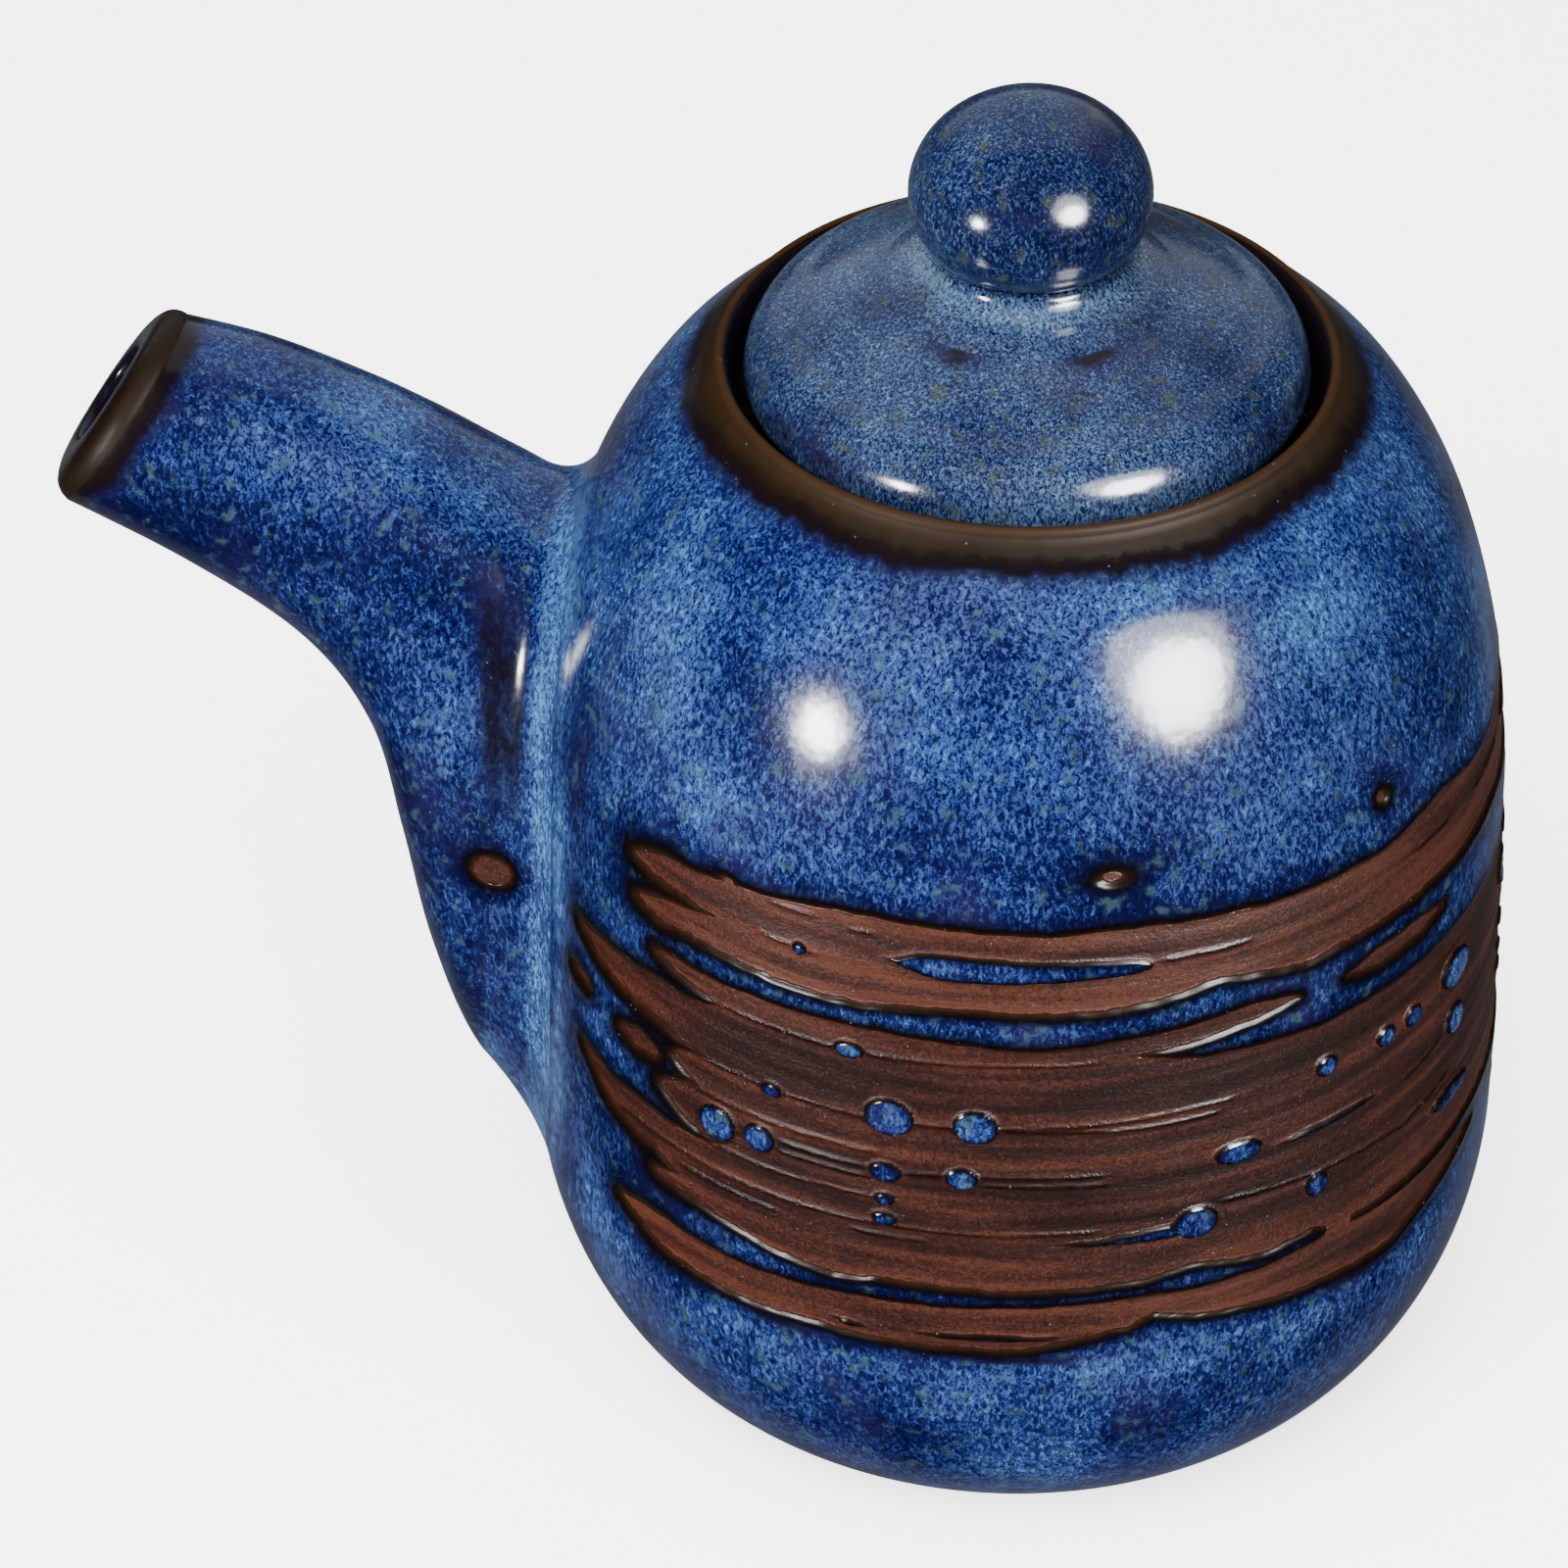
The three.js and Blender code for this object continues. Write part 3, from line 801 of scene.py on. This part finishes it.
def make_knob(material):
    """The ball knob on its flared, grooved collar."""
    angles = np.linspace(-180, 180, LID_COLUMNS, endpoint=False)
    collar = spline([(KNOB_COLLAR_RADIUS + 1.2, float(lid_dome(KNOB_COLLAR_RADIUS + 1.2)) - 0.06),
                     (KNOB_COLLAR_RADIUS - 0.6, 101.65), (9, 102.05), (8.25, 102.55), (7.8, 103.1),
                     (7.55, 103.65), (7.2, 104), (KNOB_NECK_RADIUS, KNOB_NECK_HEIGHT), (7.05, 104.35),
                     (7.8, 104.5)], np.linspace(0, 1, 60))
    start = math.asin((KNOB_NECK_HEIGHT + 0.35 - KNOB_CENTRE_HEIGHT) / KNOB_HALF_HEIGHT)
    turn = np.linspace(start, math.pi / 2 - 0.004, 70)
    ball_height = KNOB_CENTRE_HEIGHT + KNOB_HALF_HEIGHT * np.sin(turn)
    ball = np.column_stack([KNOB_RADIUS * np.cos(turn), ball_height])
    profile = np.vstack([collar, ball])
    points = turned_points(profile, angles)
    faces = grid_faces(len(profile), LID_COLUMNS).tolist()
    # Painted shade in the groove under the ball, drawn as near-black glaze.
    groove_shade = np.exp(-(((profile[:, 1] - 104.4) / 0.3) ** 2))
    belt = np.exp(-(((profile[:, 1] - 111.4) / 1.1) ** 2))
    blotches = 0.26 * (0.5 + 0.5 * np.cos(np.radians(angles - FRONT_ANGLE) * 3))
    thin = np.maximum(0.6 * groove_shade[:, None], belt[:, None] * blotches[None, :])
    pool = np.where(profile[:, 1] > 104, -0.5, np.exp(-(((profile[:, 1] - 102.7) / 0.9) ** 2)))
    count = len(profile) * LID_COLUMNS
    values = {"clay": np.full(count, ALL_GLAZED), "ridge": np.zeros(count),
              "pool": np.repeat(pool, LID_COLUMNS), "thin": thin}
    knob = make_piece("knob_skin", points.reshape(-1, 3), faces, values, material, "cover")
    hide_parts("lid_knob")
    return knob


# ---------------------------------------------------------------- materials


class Graph:
    """A material's node tree, with short calls for the nodes used here."""

    def __init__(self, name):
        self.material = bpy.data.materials.new(name)
        self.material.use_nodes = True
        self.tree = self.material.node_tree
        self.shader = self.tree.nodes["Principled BSDF"]
        self.place = self.node("ShaderNodeTexCoord").outputs["Object"]

    def node(self, kind, sockets=None, **settings):
        made = self.tree.nodes.new(kind)
        for label, value in settings.items():
            setattr(made, label, value)
        for label, value in (sockets or {}).items():
            if isinstance(value, bpy.types.NodeSocket):
                self.tree.links.new(value, made.inputs[label])
            else:
                made.inputs[label].default_value = value
        return made

    def math(self, operation, first, second=0.0):
        return self.node("ShaderNodeMath", {0: first, 1: second}, operation=operation).outputs[0]

    def attribute(self, name):
        return self.node("ShaderNodeAttribute", attribute_name=name).outputs["Fac"]

    def stretched(self, x, y, z):
        return self.node("ShaderNodeMapping", {"Vector": self.place, "Scale": (x, y, z)}).outputs[0]

    def noise(self, size, vector=None, detail=2.0, roughness=0.5, distortion=0.0):
        """Noise with features about size millimetres wide."""
        sockets = {"Vector": vector or self.place, "Scale": 1 / (size * MM), "Detail": detail,
                   "Roughness": roughness, "Distortion": distortion}
        return self.node("ShaderNodeTexNoise", sockets).outputs["Fac"]

    def remap(self, value, low, high, out_low=0.0, out_high=1.0):
        sockets = {"Value": value, "From Min": low, "From Max": high,
                   "To Min": out_low, "To Max": out_high}
        made = self.node("ShaderNodeMapRange", sockets, interpolation_type="SMOOTHSTEP")
        return made.outputs["Result"]

    def ramp(self, value, stops):
        made = self.node("ShaderNodeValToRGB", {"Fac": value})
        elements = made.color_ramp.elements
        while len(elements) < len(stops):
            elements.new(0.5)
        for element, (position, colour) in zip(elements, stops):
            element.position = position
            element.color = colour
        return made.outputs["Color"]

    def mix(self, share, first, second):
        made = self.node("ShaderNodeMix", {0: share, 6: first, 7: second}, data_type="RGBA")
        return made.outputs[2]

    def connect(self, label, value):
        self.tree.links.new(value, self.shader.inputs[label])


def glaze_blue(g, fibres, fibre, clay, pool, blues, fleck, cloud_pull, violet):
    """Fine strands that gather in light and dark clouds, with violet clouds and small flecks."""
    grains = g.noise(0.45 * fibre, detail=1.5, roughness=0.6)
    cloud = g.noise(14, detail=4.0, roughness=0.6)
    level = g.math("ADD", g.math("MULTIPLY", fibres, 0.72), g.math("MULTIPLY", grains, 0.28))
    level = g.math("ADD", level, g.math("MULTIPLY", g.math("SUBTRACT", cloud, 0.5), cloud_pull))
    level = g.math("ADD", level, g.math("MULTIPLY", pool, 0.12))
    level = g.math("SUBTRACT", level, g.math("MULTIPLY", g.remap(clay, -3, -0.8), 0.1))
    blue = g.ramp(level, blues)
    violet_cloud = g.noise(9, g.stretched(1, 1, 0.7), detail=3.0)
    blue = g.mix(g.math("MULTIPLY", g.remap(violet_cloud, 0.5, 0.74), 0.55), blue, violet)
    flecks = g.noise(1.3, detail=3.0)
    return g.mix(g.math("MULTIPLY", g.remap(flecks, 0.56, 0.72), 0.5), blue, fleck)


def worn_share(g, ragged):
    """How far the glaze has run thin, with a ragged edge; this also carries painted shade and a painted
    reflection, drawn as dark glaze.
    """
    thin = g.attribute("thin")
    run = g.noise(1.2, g.stretched(1, 1, 0.6), detail=3.0, roughness=0.6)
    worn = g.math("ADD", thin, g.math("MULTIPLY", g.math("SUBTRACT", run, 0.5), ragged))
    return g.math("MULTIPLY", worn, g.remap(thin, 0.0, 0.12))


def fired_level(g, edge):
    """How light the bare clay fired, from fine hairs along the strokes, dust and wide patches."""
    hair = g.noise(14, g.stretched(1, 1, 14), detail=3.0, roughness=0.5)
    dust = g.noise(0.28, detail=2.0, roughness=0.8)
    patch = g.noise(16, g.stretched(1, 1, 3), detail=2.0)
    fired = g.math("ADD", g.math("MULTIPLY", hair, 0.36), g.math("MULTIPLY", dust, 0.46))
    fired = g.math("ADD", fired, g.math("MULTIPLY", patch, 0.18))
    fired = g.math("SUBTRACT", fired, g.math("MULTIPLY", g.remap(edge, 0.3, 2.2), 0.07))
    level_up = g.node("ShaderNodeSeparateXYZ", {0: g.place}).outputs["Z"]
    outer_strokes = g.math("ADD", g.remap(level_up, 0.054, 0.059), g.remap(level_up, 0.036, 0.032))
    fired = g.math("ADD", fired, g.math("MULTIPLY", outer_strokes, 0.06))
    return g.math("ADD", g.math("MULTIPLY", g.math("SUBTRACT", fired, 0.5), 1.3), 0.5)


def connect_shine(g, fibres, worn, edge, is_bare, ridge):
    """Glossy glaze and ridges, satin clay, and a dull look where the glaze runs thin or ends."""
    run_thin = g.remap(worn, 0.5, 0.75)
    beside_clay = g.math("MULTIPLY", g.remap(edge, -0.8, -0.25), g.math("SUBTRACT", 1.0, is_bare))
    matt = g.math("MULTIPLY", is_bare, g.math("SUBTRACT", 1.0, ridge))
    matt = g.math("MAXIMUM", matt, g.math("MULTIPLY", run_thin, 1.5))
    matt = g.math("MAXIMUM", matt, g.math("MULTIPLY", beside_clay, 0.35))
    rough = g.math("ADD", g.math("MULTIPLY", matt, CLAY_ROUGHNESS), g.math("MULTIPLY", fibres, 0.1))
    g.connect("Roughness", g.math("ADD", rough, GLAZE_ROUGHNESS))
    dull = g.math("MAXIMUM", run_thin, g.math("MULTIPLY", is_bare, 0.5))
    dull = g.math("MAXIMUM", dull, g.math("MULTIPLY", beside_clay, 0.95))
    g.connect("Specular IOR Level", g.remap(dull, 0, 1, SHINE, DULL_SHINE))


def connect_bump(g, fired, is_bare):
    """Gentle hollows in the glaze and grit in the clay."""
    skin = g.math("MULTIPLY", g.noise(2.4, detail=2.0), 0.03)
    hollow = g.math("MULTIPLY", g.math("SUBTRACT", 1.0, is_bare), skin)
    grit = g.math("MULTIPLY", is_bare, g.math("MULTIPLY", fired, 0.12))
    sockets = {"Height": g.math("ADD", hollow, grit), "Strength": 1.0, "Distance": MM}
    g.connect("Normal", g.node("ShaderNodeBump", sockets).outputs["Normal"])


def kiln_glaze(name, blues, fleck, cloud_pull, violet, fibre, ragged):
    """Glossy speckled glaze, brown where it runs thin, over satin brown clay where it is wiped away."""
    g = Graph(name)
    clay, ridge = g.attribute("clay"), g.attribute("ridge")
    fibres = g.noise(fibre, g.stretched(1, 1, 0.5), detail=3.0, roughness=0.62, distortion=0.7)
    worn = worn_share(g, ragged)
    wander = g.noise(0.9, detail=3.0)
    edge = g.math("ADD", clay, g.math("MULTIPLY", g.math("SUBTRACT", wander, 0.5), 0.35))
    is_bare = g.remap(edge, -0.06, 0.08)
    fired = fired_level(g, edge)

    colour = glaze_blue(g, fibres, fibre, clay, g.attribute("pool"), blues, fleck, cloud_pull, violet)
    brown = g.ramp(worn, [(0.26, tone(32, 27, 84)), (0.42, tone(26, 17, 31)), (0.62, tone(37, 25, 13)),
                          (0.95, tone(76, 49, 22))])
    colour = g.mix(g.remap(worn, 0.1, 0.46), colour, brown)
    halo = g.ramp(g.remap(edge, -1.3, 0.1), [(0.0, tone(8, 9, 42)), (0.5, tone(9, 6, 9)),
                                            (0.82, tone(34, 20, 11)), (1.0, tone(66, 36, 20))])
    colour = g.mix(g.remap(edge, -1.5, -0.45), colour, halo)
    bare = g.ramp(fired, [(0.34, tone(38, 13, 8)), (0.44, tone(62, 23, 14)), (0.52, tone(86, 34, 19)),
                          (0.64, tone(122, 57, 27))])
    bare = g.mix(g.math("MULTIPLY", ridge, 0.85), bare, tone(20, 11, 7))
    colour = g.mix(is_bare, colour, bare)
    dots = g.node("ShaderNodeTexVoronoi", {"Vector": g.place, "Scale": 1 / (DUST_SPACING * MM)})
    speck = g.remap(dots.outputs["Distance"], 0.06, 0.035)
    g.connect("Base Color", g.mix(g.math("MULTIPLY", speck, 0.7), colour, tone(165, 155, 150)))
    connect_shine(g, fibres, worn, edge, is_bare, ridge)
    connect_bump(g, fired, is_bare)
    return g.material


def pot_glaze():
    blues = [(0.36, tone(3, 5, 66)), (0.45, tone(25, 42, 113)), (0.52, tone(54, 82, 158)),
             (0.60, tone(84, 124, 187)), (0.70, tone(92, 163, 232, 1.5 * UNDER_LIGHT))]
    return kiln_glaze("kiln_blue_glaze", blues, tone(84, 126, 126), 0.5, tone(46, 34, 90), 0.36, 0.17)


def lid_glaze():
    blues = [(0.36, tone(2, 7, 58)), (0.45, tone(31, 49, 104)), (0.52, tone(64, 87, 134)),
             (0.60, tone(102, 134, 178)), (0.70, tone(146, 184, 214, 1.3 * UNDER_LIGHT))]
    return kiln_glaze("lid_blue_glaze", blues, tone(88, 104, 60), 0.36, tone(56, 42, 76), 0.23, 0.6)


# ---------------------------------------------------------------- stage


def make_floor():
    material = bpy.data.materials.new("floor_paper")
    material.use_nodes = True
    shader = material.node_tree.nodes["Principled BSDF"]
    shader.inputs["Base Color"].default_value = (0.86, 0.86, 0.86, 1)
    shader.inputs["Roughness"].default_value = 0.9
    shader.inputs["Emission Color"].default_value = (1, 1, 1, 1)
    shader.inputs["Emission Strength"].default_value = FLOOR_GLOW
    bpy.ops.mesh.primitive_plane_add(size=6, location=(0, 0, 0))
    floor = bpy.context.object
    floor.name = "floor"
    floor.data.materials.append(material)
    floor.visible_glossy = False


def along(nodes, links, direction, axis):
    made = nodes.new("ShaderNodeVectorMath")
    made.operation = "DOT_PRODUCT"
    made.inputs[1].default_value = axis
    links.new(direction, made.inputs[0])
    return made.outputs["Value"]


def fade(nodes, links, value, low, high, out_low, out_high):
    made = nodes.new("ShaderNodeMapRange")
    numbers = {"From Min": low, "From Max": high, "To Min": out_low, "To Max": out_high}
    for label, number in numbers.items():
        made.inputs[label].default_value = number
    links.new(value, made.inputs["Value"])
    return made.outputs["Result"]


def combine(nodes, links, operation, *values):
    made = nodes.new("ShaderNodeMath")
    made.operation = operation
    for socket, value in zip(made.inputs, values):
        links.new(value, socket)
    return made.outputs[0]


def make_world():
    """A dim studio with a pale sweep behind the pot, which glaze that faces upward reflects.

    The camera itself sees an even, pale backdrop instead."""
    world = bpy.data.worlds.new("studio")
    bpy.context.scene.world = world
    world.use_nodes = True
    nodes, links = world.node_tree.nodes, world.node_tree.links
    direction = nodes.new("ShaderNodeTexCoord").outputs["Generated"]
    height = along(nodes, links, direction, UPWARD)
    low = fade(nodes, links, height, -0.3, -0.18, LOW_GLOW, FRONT_GLOW)
    sweep = fade(nodes, links, height, 0.05, 0.14, 0, SWEEP_GLOW)
    behind = fade(nodes, links, along(nodes, links, direction, SWEEP_DIRECTION), 0.04, 0.16, 0, 1)
    aside = combine(nodes, links, "ABSOLUTE", along(nodes, links, direction, SWEEP_SIDEWAYS))
    width = fade(nodes, links, aside, 0.5, 0.68, 1, 0)
    glow = combine(nodes, links, "MULTIPLY", combine(nodes, links, "ADD", low, sweep), width)
    glow = combine(nodes, links, "MULTIPLY_ADD", glow, behind)
    glow.node.inputs[2].default_value = FRONT_GLOW
    strength = nodes.new("ShaderNodeMix")
    strength.inputs["B"].default_value = BACKDROP_GLOW
    links.new(nodes.new("ShaderNodeLightPath").outputs["Is Camera Ray"], strength.inputs["Factor"])
    links.new(glow, strength.inputs["A"])
    links.new(strength.outputs["Result"], nodes["Background"].inputs["Strength"])
    nodes["Background"].inputs["Color"].default_value = (0.95, 0.97, 1, 1)


def add_softbox(name, azimuth, elevation, distance, size, power, glints=True, fills=True):
    """An area light aimed at the pot from a direction, in degrees and metres.

    It can be kept out of the reflections (glints) or out of the soft lighting (fills)."""
    light = bpy.data.lights.new(name, "AREA")
    light.shape = "DISK"
    light.size = size
    light.energy = power
    lamp = bpy.data.objects.new(name, light)
    bpy.context.scene.collection.objects.link(lamp)
    turn, rise = math.radians(azimuth), math.radians(elevation)
    target = Vector((0, 0, 0.07))
    away = Vector((math.cos(turn) * math.cos(rise), math.sin(turn) * math.cos(rise), math.sin(rise)))
    lamp.location = target + away * distance
    lamp.rotation_euler = away.to_track_quat("Z", "Y").to_euler()
    lamp.visible_glossy = glints
    lamp.visible_diffuse = fills


def add_lights():
    add_softbox("left_softbox", -129, 6, 0.9, 0.15, 10)
    add_softbox("right_softbox", -41, 20, 0.9, 0.34, 27, fills=False)
    add_softbox("right_glow", -42, 27, 0.92, 0.5, 8)
    add_softbox("front_fill", -104, 46, 1.3, 1.0, 57, glints=False)
    add_softbox("overhead", -85, 76, 1.6, 1.8, 68, glints=False)


def add_camera():
    data = bpy.data.cameras.new("camera")
    data.lens = CAMERA_LENS
    data.sensor_width = 36
    camera = bpy.data.objects.new("camera", data)
    bpy.context.scene.collection.objects.link(camera)
    turn = Matrix.Rotation(math.radians(CAMERA_TURN), 4, "Z")
    tilt = Matrix.Rotation(math.radians(CAMERA_TILT), 4, "X")
    roll = Matrix.Rotation(math.radians(CAMERA_ROLL), 4, "Z")
    camera.matrix_world = Matrix.Translation(Vector(CAMERA_PLACE) * MM) @ turn @ tilt @ roll
    bpy.context.scene.camera = camera


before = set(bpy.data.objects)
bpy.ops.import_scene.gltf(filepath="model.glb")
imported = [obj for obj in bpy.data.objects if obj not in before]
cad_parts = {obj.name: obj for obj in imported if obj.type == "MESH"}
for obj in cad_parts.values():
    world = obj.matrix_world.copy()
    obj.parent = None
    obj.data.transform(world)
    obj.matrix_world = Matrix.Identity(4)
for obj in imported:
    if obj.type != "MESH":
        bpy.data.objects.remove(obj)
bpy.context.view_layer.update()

blue = pot_glaze()
grey_blue = lid_glaze()
for piece in (make_pot(blue), make_port_lining(blue), make_spout(blue)):
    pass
for piece in (make_lid(grey_blue), make_knob(grey_blue)):
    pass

make_floor()
make_world()
add_lights()
add_camera()
